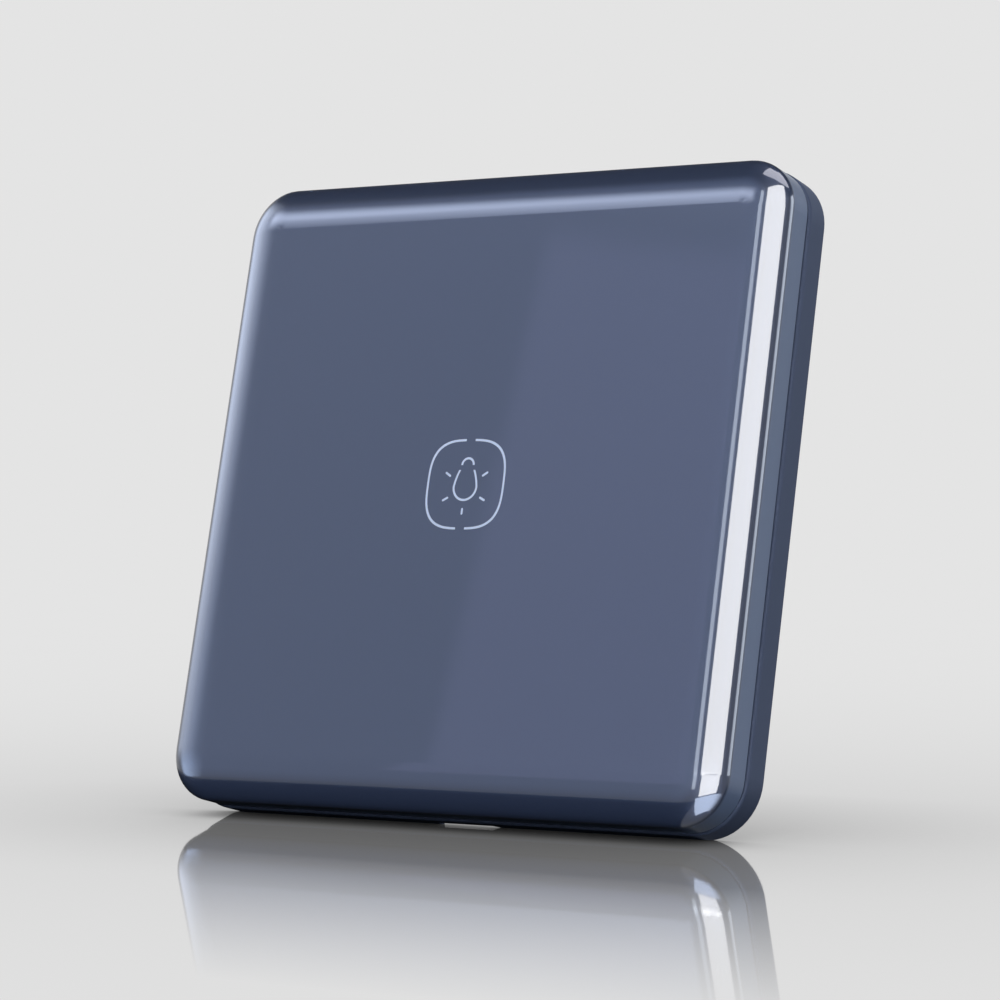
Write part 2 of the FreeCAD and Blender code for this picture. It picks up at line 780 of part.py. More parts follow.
def battery_clip():
    """A bent strip over the cell, with a slot and two feet on the board."""
    inner_x = cell_radius + clip_side_gap
    outer_x = inner_x + clip_thickness
    foot_x = outer_x + clip_foot
    top_y = cell_rear_y + clip_thickness
    foot_y = board_rear_y + clip_thickness
    corners = [
        FreeCAD.Vector(-foot_x, board_rear_y, 0),
        FreeCAD.Vector(-inner_x, board_rear_y, 0),
        FreeCAD.Vector(-inner_x, cell_rear_y, 0),
        FreeCAD.Vector(inner_x, cell_rear_y, 0),
        FreeCAD.Vector(inner_x, board_rear_y, 0),
        FreeCAD.Vector(foot_x, board_rear_y, 0),
        FreeCAD.Vector(foot_x, foot_y, 0),
        FreeCAD.Vector(outer_x, foot_y, 0),
        FreeCAD.Vector(outer_x, top_y, 0),
        FreeCAD.Vector(-outer_x, top_y, 0),
        FreeCAD.Vector(-outer_x, foot_y, 0),
        FreeCAD.Vector(-foot_x, foot_y, 0),
    ]
    outline = Part.makePolygon(corners + [corners[0]])
    strip = Part.Face(outline).extrude(FreeCAD.Vector(0, 0, clip_width))
    strip.translate(FreeCAD.Vector(0, 0, cell_z - clip_width / 2))
    slot = slot_plate(clip_slot_length, clip_slot_width / 2, cell_rear_y, top_y, z=cell_z)
    return strip.cut(slot)


def radio_chip():
    """The radio chip's moulded body."""
    length, width, height = chip_size
    x = chip_share * board_half_x
    body = box(x - length / 2, x + length / 2, board_rear_y, board_rear_y + height,
               row_z - width / 2, row_z + width / 2)
    return body.makeChamfer(chip_round, edges_at(body, board_rear_y + height))


def radio_chip_leads():
    """Two rows of bent leads at the long sides of the radio chip."""
    width, height = chip_size[1:]
    x = chip_share * board_half_x
    leads = []
    for side in (-1, 1):
        edge = row_z + side * width / 2
        tip = edge + side * chip_lead_reach
        knee = edge + side * chip_lead_reach / 2
        for i in range(chip_lead_count):
            lead_x = x + (i - (chip_lead_count - 1) / 2) * chip_lead_pitch
            x0 = lead_x - chip_lead_width / 2
            top = board_rear_y + height / 2
            corners = [
                FreeCAD.Vector(x0, top, edge),
                FreeCAD.Vector(x0, top, knee),
                FreeCAD.Vector(x0, board_rear_y + chip_lead_thickness, knee),
                FreeCAD.Vector(x0, board_rear_y + chip_lead_thickness, tip),
                FreeCAD.Vector(x0, board_rear_y, tip),
                FreeCAD.Vector(x0, board_rear_y, knee - side * chip_lead_thickness),
                FreeCAD.Vector(x0, top - chip_lead_thickness, knee - side * chip_lead_thickness),
                FreeCAD.Vector(x0, top - chip_lead_thickness, edge),
            ]
            outline = Part.makePolygon(corners + [corners[0]])
            leads.append(Part.Face(outline).extrude(FreeCAD.Vector(chip_lead_width, 0, 0)))
    return Part.makeCompound(leads)


def crystal_can():
    """The small metal can of the timing crystal."""
    length, width, height = can_size
    return rounded_plate(length / 2, width / 2, can_round, board_rear_y, board_rear_y + height,
                         x=can_share * board_half_x, z=row_z)


def resonator_can():
    """The round metal can of the radio resonator, with its flange."""
    x = resonator_share * board_half_x
    can = rod_y(x, row_z, resonator_radius, board_rear_y, board_rear_y + resonator_height)
    can = can.makeFillet(resonator_round, edges_at(can, board_rear_y + resonator_height))
    flange = rod_y(x, row_z, resonator_radius + resonator_flange,
                   board_rear_y, board_rear_y + resonator_flange_height)
    return can.fuse(flange)


def coil_antenna():
    """The wound wire antenna that lies along the upper edge of the board."""
    length = coil_pitch * coil_turns
    helix = Part.makeHelix(coil_pitch, length, coil_radius)
    start = Part.Wire(Part.makeCircle(
        coil_wire_radius, FreeCAD.Vector(coil_radius, 0, 0), FreeCAD.Vector(0, 1, 0)))
    coil = Part.Wire(helix.Edges).makePipeShell([start], True, True)
    coil.rotate(FreeCAD.Vector(0, 0, 0), FreeCAD.Vector(0, 1, 0), 90)
    axis_y = board_rear_y + coil_radius + coil_wire_radius
    coil.translate(FreeCAD.Vector(-length / 2, axis_y, board_half_z - coil_below_edge))
    return coil


def status_led():
    """The small light on the front of the board."""
    length, width, height = led_size
    return box(-length / 2, length / 2, board_front_y - height, board_front_y,
               led_z - width / 2, led_z + width / 2)


def chip_part(x, z):
    """One small chip part, a body with two thicker end caps."""
    y0 = board_rear_y
    y1 = y0 + chip_part_height
    core = box(x - chip_part_length / 2, x + chip_part_length / 2, y0, y1 - chip_end_step,
               z - chip_part_width / 2, z + chip_part_width / 2)
    pieces = [core]
    for side in (-1, 1):
        tip = x + side * chip_part_length / 2
        root = tip - side * chip_end_length
        pieces.append(box(min(tip, root), max(tip, root), y0, y1,
                          z - chip_part_width / 2, z + chip_part_width / 2))
    return fuse_all(pieces)


def chip_parts(share):
    """A column of small chip parts."""
    x = share * board_half_x
    lowest = row_z - (chip_part_rows - 1) / 2 * chip_part_pitch
    rows = [lowest + i * chip_part_pitch for i in range(chip_part_rows)]
    return Part.makeCompound([chip_part(x, z) for z in rows])


def stop_pads():
    """Two soft pads on the deck that stop the key's free edge."""
    lift = key_angle * (hinge_z - stop_pad_z + stop_pad_width / 2)
    top_y = carrier_rear_y + lift + stop_clearance
    pads = []
    for x in (-stop_pad_x, stop_pad_x):
        pads.append(rounded_plate(stop_pad_length / 2, stop_pad_width / 2, stop_pad_corner,
                                  top_y, deck_front_y, x=x, z=stop_pad_z))
    return Part.makeCompound(pads)


def main():
    os.makedirs("parts", exist_ok=True)
    icon = icon_strokes()
    save("key_cap", key_cap(icon))
    save("icon_print", icon)
    save("key_plate", key_plate())
    save("outer_frame", outer_frame())
    save("back_plate", back_plate())
    save("circuit_board", circuit_board())
    save("board_screws", Part.makeCompound([board_screw(x, z) for x, z in screw_places()]))
    save("switch_body", switch_body())
    save("switch_cover", switch_cover())
    save("switch_plunger", switch_plunger())
    save("switch_legs", switch_legs())
    save("coin_cell", coin_cell())
    save("battery_contact", battery_contact())
    save("battery_clip", battery_clip())
    save("radio_chip", radio_chip())
    save("radio_chip_leads", radio_chip_leads())
    save("crystal_can", crystal_can())
    save("resonator_can", resonator_can())
    save("coil_antenna", coil_antenna())
    save("status_led", status_led())
    save("chip_resistors", chip_parts(resistor_share))
    save("chip_capacitors", chip_parts(capacitor_share))
    save("stop_pads", stop_pads())
    save("wall_pads", wall_pads())
    print("key angle, degrees:", math.degrees(key_angle), "plunger travel:", plunger_travel)


main()
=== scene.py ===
import bpy
import math
from mathutils import Matrix, Vector


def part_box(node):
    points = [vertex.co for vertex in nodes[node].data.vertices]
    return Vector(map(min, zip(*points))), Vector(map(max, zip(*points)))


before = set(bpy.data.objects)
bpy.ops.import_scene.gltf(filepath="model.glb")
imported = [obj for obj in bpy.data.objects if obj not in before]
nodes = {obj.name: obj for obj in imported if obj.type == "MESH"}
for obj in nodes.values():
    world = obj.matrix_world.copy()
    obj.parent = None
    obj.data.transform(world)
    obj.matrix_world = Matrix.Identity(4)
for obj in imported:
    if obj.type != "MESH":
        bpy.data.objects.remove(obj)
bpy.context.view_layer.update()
scene = bpy.context.scene
scene.view_settings.view_transform = "Standard"
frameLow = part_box("outer_frame")[0]
print("frame loaded,", len(nodes), "nodes")


# small helpers for shader trees
def addNode(tree, kind, **settings):
    node = tree.nodes.new(kind)
    for key, value in settings.items():
        setattr(node, key, value)
    return node


def addMath(tree, operation, first, second=None, third=None):
    node = addNode(tree, "ShaderNodeMath", operation=operation)
    for slot, value in zip(node.inputs, (first, second, third)):
        if value is None:
            continue
        if isinstance(value, (int, float)):
            slot.default_value = value
        else:
            tree.links.new(value, slot)
    return node.outputs[0]


# a value carried from one range to another, with soft ends unless it runs straight
def addRamp(tree, value, start, end, levels=(0.0, 1.0), straight=False):
    kind = "LINEAR" if straight else "SMOOTHSTEP"
    ramp = addNode(tree, "ShaderNodeMapRange", interpolation_type=kind)
    tree.links.new(value, ramp.inputs["Value"])
    ramp.inputs["From Min"].default_value = start
    ramp.inputs["From Max"].default_value = end
    ramp.inputs["To Min"].default_value = levels[0]
    ramp.inputs["To Max"].default_value = levels[1]
    return ramp.outputs["Result"]


def mixShaders(tree, share, first, second):
    mix = addNode(tree, "ShaderNodeMixShader")
    for slot, source in zip(mix.inputs, (share, first, second)):
        tree.links.new(source, slot)
    return mix.outputs[0]


def mixColour(tree, share, first, second):
    mix = addNode(tree, "ShaderNodeMix", data_type="RGBA")
    tree.links.new(share, mix.inputs[0])
    for slot, colour in zip((mix.inputs[6], mix.inputs[7]), (first, second)):
        if isinstance(colour, tuple):
            slot.default_value = (*colour, 1.0)
        else:
            tree.links.new(colour, slot)
    return mix.outputs[2]


# one set of texture coordinates, whole and split in X, Y and Z
def addPlace(tree, kind):
    place = addNode(tree, "ShaderNodeTexCoord").outputs[kind]
    split = addNode(tree, "ShaderNodeSeparateXYZ")
    tree.links.new(place, split.inputs[0])
    return place, split.outputs


# a material with an empty tree, and the socket that its surface goes into
def bareMaterial(name):
    material = bpy.data.materials.new(name)
    material.use_nodes = True
    tree = material.node_tree
    tree.nodes.clear()
    return material, tree, addNode(tree, "ShaderNodeOutputMaterial").inputs["Surface"]


def dress(node, material):
    mesh = nodes[node].data
    mesh.materials.clear()
    mesh.materials.append(material)


# grain shared by every moulded, plated or coated finish
grainDetail = {"fine": 3.0, "broad": 2.0}


def makeGrainGroup():
    group = bpy.data.node_groups.new("surface grain", "ShaderNodeTree")
    sockets = group.interface
    sockets.new_socket("Colour", in_out="INPUT", socket_type="NodeSocketColor")
    for name in ("Tone Shift", "Tone Scale", "Grain Scale", "Roughness", "Roughness Spread"):
        sockets.new_socket(name, in_out="INPUT", socket_type="NodeSocketFloat")
    sockets.new_socket("Colour", in_out="OUTPUT", socket_type="NodeSocketColor")
    sockets.new_socket("Roughness", in_out="OUTPUT", socket_type="NodeSocketFloat")
    sockets.new_socket("Height", in_out="OUTPUT", socket_type="NodeSocketFloat")
    into = addNode(group, "NodeGroupInput").outputs
    out = addNode(group, "NodeGroupOutput").inputs
    place = addNode(group, "ShaderNodeTexCoord")
    fine = addNode(group, "ShaderNodeTexNoise")
    fine.inputs["Detail"].default_value = grainDetail["fine"]
    broad = addNode(group, "ShaderNodeTexNoise")
    broad.inputs["Detail"].default_value = grainDetail["broad"]
    for texture in (fine, broad):
        group.links.new(place.outputs["Object"], texture.inputs["Vector"])
    group.links.new(into["Grain Scale"], fine.inputs["Scale"])
    group.links.new(into["Tone Scale"], broad.inputs["Scale"])
    # the broad noise shifts the tone, the fine one the roughness and the height
    broadShift = addMath(group, "SUBTRACT", broad.outputs["Fac"], 0.5)
    tone = addMath(group, "MULTIPLY_ADD", broadShift, into["Tone Shift"], 1.0)
    shade = addNode(group, "ShaderNodeVectorMath", operation="SCALE")
    group.links.new(into["Colour"], shade.inputs[0])
    group.links.new(tone, shade.inputs["Scale"])
    group.links.new(shade.outputs[0], out["Colour"])
    fineShift = addMath(group, "SUBTRACT", fine.outputs["Fac"], 0.5)
    spread = into["Roughness Spread"]
    rough = addMath(group, "MULTIPLY_ADD", fineShift, spread, into["Roughness"])
    group.links.new(rough, out["Roughness"])
    group.links.new(fine.outputs["Fac"], out["Height"])
    return group


grainGroup = makeGrainGroup()


# on the key the rounded front edge gets a darker colour, a painted shade where the front turns
# back, and the side wall a paler colour, a painted light, with a real lower coat for its less
# polished finish; both follow the depth from the wall plane
def paintEdgeShadeAndSideLight(tree, look, colourSocket, coatSocket):
    _, split = addPlace(tree, "Object")
    depth = split["Y"]
    rim, side = look["rim"], look["side"]
    # painted shade: a darker colour on the key's rounded front edge
    rimShadeMask = addRamp(tree, depth, rim["from"], rim["to"])
    rimColour = mixColour(tree, rimShadeMask, look["colour"], rim["colour"])
    # painted light: the side wall is given a paler colour; its lower coat is a real, less
    # polished finish
    wall = addRamp(tree, depth, side["from"], side["to"])
    tree.links.new(mixColour(tree, wall, rimColour, side["colour"]), colourSocket)
    lessCoat = side["coat"] - look["coat"]
    tree.links.new(addMath(tree, "MULTIPLY_ADD", wall, lessCoat, look["coat"]), coatSocket)


# what a finish has where its own look says nothing
plainFinish = {
    "toneShift": 0.12, "toneScale": 60.0, "grainScale": 4000.0, "roughnessSpread": 0.12,
    "metallic": 0.0, "specular": 0.5, "coat": 0.0, "coatRoughness": 0.05,
    "bump": 0.2, "bumpDistance": 0.00003,
}


def grainyMaterial(name, ownLook):
    look = {**plainFinish, **ownLook}
    material = bpy.data.materials.new(name)
    material.use_nodes = True
    tree = material.node_tree
    shader = tree.nodes["Principled BSDF"].inputs
    grain = addNode(tree, "ShaderNodeGroup", node_tree=grainGroup)
    grain.inputs["Colour"].default_value = (*look["colour"], 1.0)
    grain.inputs["Tone Shift"].default_value = look["toneShift"]
    grain.inputs["Tone Scale"].default_value = look["toneScale"]
    grain.inputs["Grain Scale"].default_value = look["grainScale"]
    grain.inputs["Roughness"].default_value = look["roughness"]
    grain.inputs["Roughness Spread"].default_value = look["roughnessSpread"]
    tree.links.new(grain.outputs["Colour"], shader["Base Color"])
    tree.links.new(grain.outputs["Roughness"], shader["Roughness"])
    shader["Metallic"].default_value = look["metallic"]
    shader["Specular IOR Level"].default_value = look["specular"]
    shader["Coat Weight"].default_value = look["coat"]
    shader["Coat Roughness"].default_value = look["coatRoughness"]
    # the key's painted edge shade and painted side light
    if "rim" in look:
        paintEdgeShadeAndSideLight(tree, look, grain.inputs["Colour"], shader["Coat Weight"])
    bump = addNode(tree, "ShaderNodeBump")
    bump.inputs["Strength"].default_value = look["bump"]
    bump.inputs["Distance"].default_value = look["bumpDistance"]
    tree.links.new(grain.outputs["Height"], bump.inputs["Height"])
    tree.links.new(bump.outputs["Normal"], shader["Normal"])
    return material


# key: polished blue cap with its pale printed icon, on a matt carrier
capLook = {
    "colour": (0.054, 0.081, 0.163), "roughness": 0.34, "roughnessSpread": 0.04,
    "specular": 0.1, "coat": 1.0, "coatRoughness": 0.012,
    "toneShift": 0.02, "grainScale": 9000.0, "bump": 0.01,
    # a darker colour painted on the key's rounded front edge as shade
    "rim": {"colour": (0.024, 0.036, 0.076), "from": -0.0104, "to": -0.0100},
    # a paler colour painted on the key's side wall as light, with less coat as its real finish
    "side": {"colour": (0.10, 0.145, 0.25), "from": -0.0084, "to": -0.0078, "coat": 0.35},
}
printLook = {
    "colour": (0.54, 0.64, 0.84), "roughness": 0.42,
    "toneShift": 0.05, "grainScale": 9000.0, "bump": 0.05,
}
carrierLook = {"colour": (0.030, 0.040, 0.072), "roughness": 0.5}
dress("key_cap", grainyMaterial("polished slate blue", capLook))
dress("icon_print", grainyMaterial("pale icon print", printLook))
dress("key_plate", grainyMaterial("navy carrier plastic", carrierLook))

# frame and wall plate
frameLook = {
    "colour": (0.050, 0.067, 0.117), "roughness": 0.5, "roughnessSpread": 0.08,
    "specular": 0.06, "toneShift": 0.08, "grainScale": 5200.0, "bump": 0.08,
}
backLook = {
    "colour": (0.30, 0.31, 0.33), "roughness": 0.58,
    "toneShift": 0.06, "grainScale": 2600.0, "bump": 0.35,
}
padLook = {
    "colour": (0.72, 0.71, 0.68), "roughness": 0.85, "toneShift": 0.2, "toneScale": 900.0,
    "grainScale": 1500.0, "bump": 0.7, "bumpDistance": 0.00012,
}
dress("outer_frame", grainyMaterial("navy frame plastic", frameLook))
dress("back_plate", grainyMaterial("pale grey back plastic", backLook))
dress("wall_pads", grainyMaterial("white pad foam", padLook))

# what is inside: board, tact switch, battery and radio
insideLooks = {
    "circuit_board": {
        "colour": (0.015, 0.11, 0.045), "roughness": 0.3, "coat": 0.6, "toneScale": 300.0,
    },
    "board_screws": {"colour": (0.62, 0.62, 0.60), "roughness": 0.32, "metallic": 1.0},
    "switch_body": {"colour": (0.020, 0.020, 0.022), "roughness": 0.5},
    "switch_cover": {"colour": (0.66, 0.66, 0.64), "roughness": 0.28, "metallic": 1.0},
    "switch_plunger": {"colour": (0.030, 0.030, 0.032), "roughness": 0.45},
    "switch_legs": {"colour": (0.72, 0.72, 0.70), "roughness": 0.3, "metallic": 1.0},
    "coin_cell": {
        "colour": (0.68, 0.68, 0.66), "roughness": 0.24, "metallic": 1.0, "grainScale": 2500.0,
    },
    "battery_contact": {"colour": (0.72, 0.66, 0.50), "roughness": 0.3, "metallic": 1.0},
    "battery_clip": {"colour": (0.70, 0.69, 0.66), "roughness": 0.27, "metallic": 1.0},
    "radio_chip": {"colour": (0.016, 0.016, 0.018), "roughness": 0.6, "bump": 0.4},
    "radio_chip_leads": {"colour": (0.72, 0.72, 0.70), "roughness": 0.3, "metallic": 1.0},
    "crystal_can": {"colour": (0.68, 0.68, 0.67), "roughness": 0.22, "metallic": 1.0},
    "resonator_can": {"colour": (0.68, 0.67, 0.64), "roughness": 0.22, "metallic": 1.0},
    "coil_antenna": {
        "colour": (0.62, 0.27, 0.10), "roughness": 0.25, "metallic": 1.0, "coat": 0.5,
    },
    "status_led": {"colour": (0.78, 0.78, 0.70), "roughness": 0.35},
    "chip_resistors": {"colour": (0.025, 0.025, 0.030), "roughness": 0.4},
    "chip_capacitors": {"colour": (0.36, 0.24, 0.14), "roughness": 0.5},
    "stop_pads": {"colour": (0.030, 0.030, 0.032), "roughness": 0.8, "bump": 0.5},
}
for node, look in insideLooks.items():
    dress(node, grainyMaterial(node.replace("_", " ") + " finish", look))
print("materials on", len(nodes), "nodes")

# camera fitted to the photograph
cameraFit = {
    "place": (0.23790908, -0.35132356, -0.08465372),
    "right": (0.84217026, 0.52490814, 0.12337218),
    "up": (0.01688876, -0.25436684, 0.96696033),
    "lens": 117.66, "sensor": 36.0, "shift": (-0.0503, -0.0842), "nearest": 0.01,
}


def placeCamera():
    data = bpy.data.cameras.new("photo camera")
    data.lens = cameraFit["lens"]
    data.sensor_width = cameraFit["sensor"]
    data.shift_x, data.shift_y = cameraFit["shift"]
    data.clip_start = cameraFit["nearest"]
    camera = bpy.data.objects.new("photo camera", data)
    right = Vector(cameraFit["right"]).normalized()
    up = Vector(cameraFit["up"]).normalized()
    turn = Matrix((right, up, right.cross(up))).transposed().to_4x4()
    camera.matrix_world = Matrix.Translation(cameraFit["place"]) @ turn
    scene.collection.objects.link(camera)
    scene.camera = camera


placeCamera()
print("camera placed")


# directions count from the front of the plate: azimuth towards +X, elevation towards +Z
def towards(azimuth, elevation):
    turn = math.radians(azimuth)
    lift = math.radians(elevation)
    flat = math.cos(lift)
    return Vector((math.sin(turn) * flat, -math.cos(turn) * flat, math.sin(lift)))


# soft studio lamps that no reflection shows
softboxes = {
    "key softbox": {
        "azimuth": 34.0, "elevation": 8.0, "distance": 1.2, "size": (1.0, 0.8), "power": 10.0,
    },
    "rear softbox": {
        "azimuth": 165.0, "elevation": 40.0, "distance": 1.4, "size": (1.0, 0.8), "power": 10.0,
    },
}


def softbox(name, stand):
    data = bpy.data.lights.new(name, "AREA")
    data.shape = "RECTANGLE"
    data.size, data.size_y = stand["size"]
    data.energy = stand["power"]
    box = bpy.data.objects.new(name, data)
    place = towards(stand["azimuth"], stand["elevation"]) * stand["distance"]
    box.location = place
    box.rotation_euler = place.to_track_quat("Z", "Y").to_euler()
    box.visible_camera = False
    box.visible_glossy = False
    scene.collection.objects.link(box)


# how a light card fades towards its four sides, as shares of its width and height
fadeSides = ("Left", "Right", "Bottom", "Top")


def makeFadeGroup():
    group = bpy.data.node_groups.new("card fade", "ShaderNodeTree")
    for name in fadeSides:
        group.interface.new_socket(name, in_out="INPUT", socket_type="NodeSocketFloat")
    group.interface.new_socket("Fade", in_out="OUTPUT", socket_type="NodeSocketFloat")
    into = addNode(group, "NodeGroupInput").outputs
    out = addNode(group, "NodeGroupOutput").inputs
    _, split = addPlace(group, "UV")
    across, along = split["X"], split["Y"]
    distances = (
        across, addMath(group, "SUBTRACT", 1.0, across),
        along, addMath(group, "SUBTRACT", 1.0, along),
    )
    fade = 1.0
    for side, distance in zip(fadeSides, distances):
        edge = addNode(group, "ShaderNodeMapRange", interpolation_type="SMOOTHSTEP")
        group.links.new(distance, edge.inputs["Value"])
        group.links.new(into[side], edge.inputs["From Max"])
        fade = addMath(group, "MULTIPLY", edge.outputs["Result"], fade)
    group.links.new(fade, out["Fade"])
    return group


fadeGroup = makeFadeGroup()
cardColumns, cardRows = 24, 12
plateCorner = (0.0405, -0.0095, -0.0385)  # lower right corner of the key
plainCard = {
    "centre": (0.0, 0.0, 0.0), "distance": 4.0, "slant": 0.0,
    "tint": (1.0, 1.0, 1.0), "fades": (0.01, 0.01, 0.01, 0.01),
}

# the cards light these pieces only, so that the floor doesn't mirror a card
platePieces = bpy.data.collections.new("plate pieces")
for piece in nodes.values():
    platePieces.objects.link(piece)


# the light is added to what is behind the card, so that cards may overlap
def cardLight(name, look):
    material, tree, surface = bareMaterial(name + " light")
    fade = addNode(tree, "ShaderNodeGroup", node_tree=fadeGroup)
    for side, share in zip(fadeSides, look["fades"]):
        fade.inputs[side].default_value = share
    glow = addNode(tree, "ShaderNodeEmission")
    glow.inputs["Color"].default_value = (*look["tint"], 1.0)
    strength = addMath(tree, "MULTIPLY", fade.outputs["Fade"], look["strength"])
    tree.links.new(strength, glow.inputs["Strength"])
    clear = addNode(tree, "ShaderNodeBsdfTransparent")
    total = addNode(tree, "ShaderNodeAddShader")
    tree.links.new(clear.outputs[0], total.inputs[0])
    tree.links.new(glow.outputs[0], total.inputs[1])
    tree.links.new(total.outputs[0], surface)
    return material


# points of a card bent round its centre; one that faces a direction has a level top edge
def cardPoints(look):
    west, east = look["azimuths"]
    low, high = look["elevations"]
    centre = Vector(look["centre"])
    points = []
    for row in range(cardRows + 1):
        share = row / cardRows
        rise = (high - low) * share
        for column in range(cardColumns + 1):
            turn = west + (east - west) * column / cardColumns + look["slant"] * rise
            lift = low + rise
            if "faces" in look:
                away = math.radians(turn - look["faces"])
                edge = math.degrees(math.atan(math.tan(math.radians(high)) * math.cos(away)))
                lift = low + (edge - low) * share
            points.append(centre + towards(turn, lift) * look["distance"])
    return points


# a bent studio card that only the reflections in the plate see
def lightCard(name, ownLook):
    look = {**plainCard, **ownLook}
    faces = []
    for row in range(cardRows):
        for column in range(cardColumns):
            first = row * (cardColumns + 1) + column
            above = first + cardColumns + 1
            faces.append((first, above, above + 1, first + 1))
    mesh = bpy.data.meshes.new(name)
    mesh.from_pydata(cardPoints(look), [], faces)
    layer = mesh.uv_layers.new(name="card")
    for loop in mesh.loops:
        row, column = divmod(loop.vertex_index, cardColumns + 1)
        layer.data[loop.index].uv = (column / cardColumns, row / cardRows)
    mesh.materials.append(cardLight(name, look))
    card = bpy.data.objects.new(name, mesh)
    scene.collection.objects.link(card)
    card.visible_camera = False
    card.visible_diffuse = False
    card.visible_shadow = False
    card.light_linking.receiver_collection = platePieces


# the window stays above the level where a camera at the plate's height would see it in the
# flat face; the cards about plateCorner carry its light down round the corner of the key
windowStrength = 15.3
lightCards = {
    "window narrow pane": {
        "azimuths": (-12.4, -8.0), "elevations": (5.2, 30.0),
        "strength": windowStrength * 0.47, "tint": (0.78, 0.87, 1.0),
        "fades": (0.08, 0.08, 0.02, 0.02),
    },
    "window wide pane": {
        "azimuths": (-4.2, 46.0), "elevations": (4.6, 49.0), "faces": 50.0,
        "strength": windowStrength * 1.06, "fades": (0.02, 0.06, 0.05, 0.01),
    },
    "window far pane": {
        "azimuths": (84.0, 138.0), "elevations": (5.2, 36.0),
        "strength": windowStrength * 0.5, "tint": (0.78, 0.87, 1.0),
        "fades": (0.2, 0.2, 0.01, 0.01),
    },
    "window upper pane": {
        "azimuths": (-17.0, 100.0), "elevations": (51.0, 80.0),
        "strength": windowStrength * 0.5, "tint": (0.9, 0.9, 1.0),
    },
    "window foot": {
        "azimuths": (-6.0, 48.0), "elevations": (-18.0, 20.4),
        "strength": windowStrength * 1.06, "fades": (0.02, 0.06, 0.04, 0.17),
        "centre": plateCorner, "distance": 0.012,
    },
    "window narrow foot": {
        "azimuths": (-20.0, -13.4), "elevations": (-5.0, 20.4),
        "strength": windowStrength * 0.47, "tint": (0.78, 0.87, 1.0),
        "fades": (0.08, 0.08, 0.1, 0.26), "centre": plateCorner, "distance": 0.012,
    },
    "corner pane": {
        "azimuths": (-14.0, 112.0), "elevations": (-64.0, -19.0),
        "strength": windowStrength * 0.8, "tint": (0.65, 0.77, 1.0),
        "fades": (0.02, 0.55, 0.02, 0.01), "centre": plateCorner, "distance": 0.010,
    },
    "top strip": {
        "azimuths": (-62.0, -16.0), "elevations": (16.5, 33.0), "strength": 8.3,
        "tint": (0.67, 0.76, 1.0), "fades": (0.2, 0.15, 0.5, 0.5),
    },
    "left sheet": {
        "azimuths": (-102.0, -44.0), "elevations": (-4.0, 40.0), "strength": 5.4,
        "tint": (0.657, 0.76, 1.0), "fades": (0.35, 0.5, 0.45, 0.3),
    },
    "corner sheet": {
        "azimuths": (-82.0, -37.0), "elevations": (-15.5, 11.0), "strength": 5.6,
        "tint": (0.5, 0.66, 1.0), "fades": (0.3, 0.6, 0.1, 0.7),
    },
    "face sheet": {
        "azimuths": (-35.85, -18.0), "elevations": (-2.0, 17.0), "slant": 0.095,
        "strength": 0.594, "tint": (0.54, 0.54, 1.0), "fades": (0.03, 0.2, 0.1, 0.05),
    },
}
for name, look in lightCards.items():
    lightCard(name, look)
for name, stand in softboxes.items():
    softbox(name, stand)
print("lights placed")

# studio: even light for bounces, pale to the eye, in reflections dark overhead and low
# down behind the plate, where only its side walls look
paleLevel = 0.776
studioLook = {
    "ceilingFrom": 0.45, "ceilingTo": 0.68, "ceilingLevel": 0.08,
    "groundFrom": -0.35, "groundTo": 0.05, "bounceLevels": (0.02, 0.55),
    "behindFrom": 0.2, "behindTo": 0.6, "lowFrom": 0.02, "lowTo": -0.22, "lowShade": 0.85,
}


def makeStudio():
    world = bpy.data.worlds.new("studio")
    world.use_nodes = True
    tree = world.node_tree
    tree.nodes.clear()
    out = addNode(tree, "ShaderNodeOutputWorld")
    path = addNode(tree, "ShaderNodeLightPath").outputs
    _, split = addPlace(tree, "Generated")
    back, up = split["Y"], split["Z"]
    ceiling = addRamp(
        tree, up, studioLook["ceilingFrom"], studioLook["ceilingTo"],
        (paleLevel, studioLook["ceilingLevel"]),
    )
    ground = addRamp(
        tree, up, studioLook["groundFrom"], studioLook["groundTo"], studioLook["bounceLevels"],
    )
    even = addNode(tree, "ShaderNodeBackground")
    even.inputs["Color"].default_value = (1.0, 1.0, 1.0, 1.0)
    tree.links.new(addMath(tree, "MULTIPLY", ceiling, ground), even.inputs["Strength"])
    behind = addRamp(tree, back, studioLook["behindFrom"], studioLook["behindTo"])
    lowDown = addRamp(tree, up, studioLook["lowFrom"], studioLook["lowTo"])
    darker = addMath(tree, "MULTIPLY", behind, lowDown)
    darker = addMath(tree, "MULTIPLY_ADD", darker, -studioLook["lowShade"], 1.0)
    shown = addNode(tree, "ShaderNodeMix", data_type="FLOAT")
    tree.links.new(path["Is Camera Ray"], shown.inputs[0])
    tree.links.new(addMath(tree, "MULTIPLY", ceiling, darker), shown.inputs[2])
    shown.inputs[3].default_value = paleLevel
    pale = addNode(tree, "ShaderNodeBackground")
    pale.inputs["Color"].default_value = (1.0, 1.0, 1.0, 1.0)
    tree.links.new(shown.outputs[0], pale.inputs["Strength"])
    seen = addMath(tree, "MAXIMUM", path["Is Camera Ray"], path["Is Glossy Ray"])
    seen = addMath(tree, "MAXIMUM", seen, path["Is Transmission Ray"])
    light = mixShaders(tree, seen, even.outputs[0], pale.outputs[0])
    tree.links.new(light, out.inputs["Surface"])
    scene.world = world


makeStudio()
print("studio set")

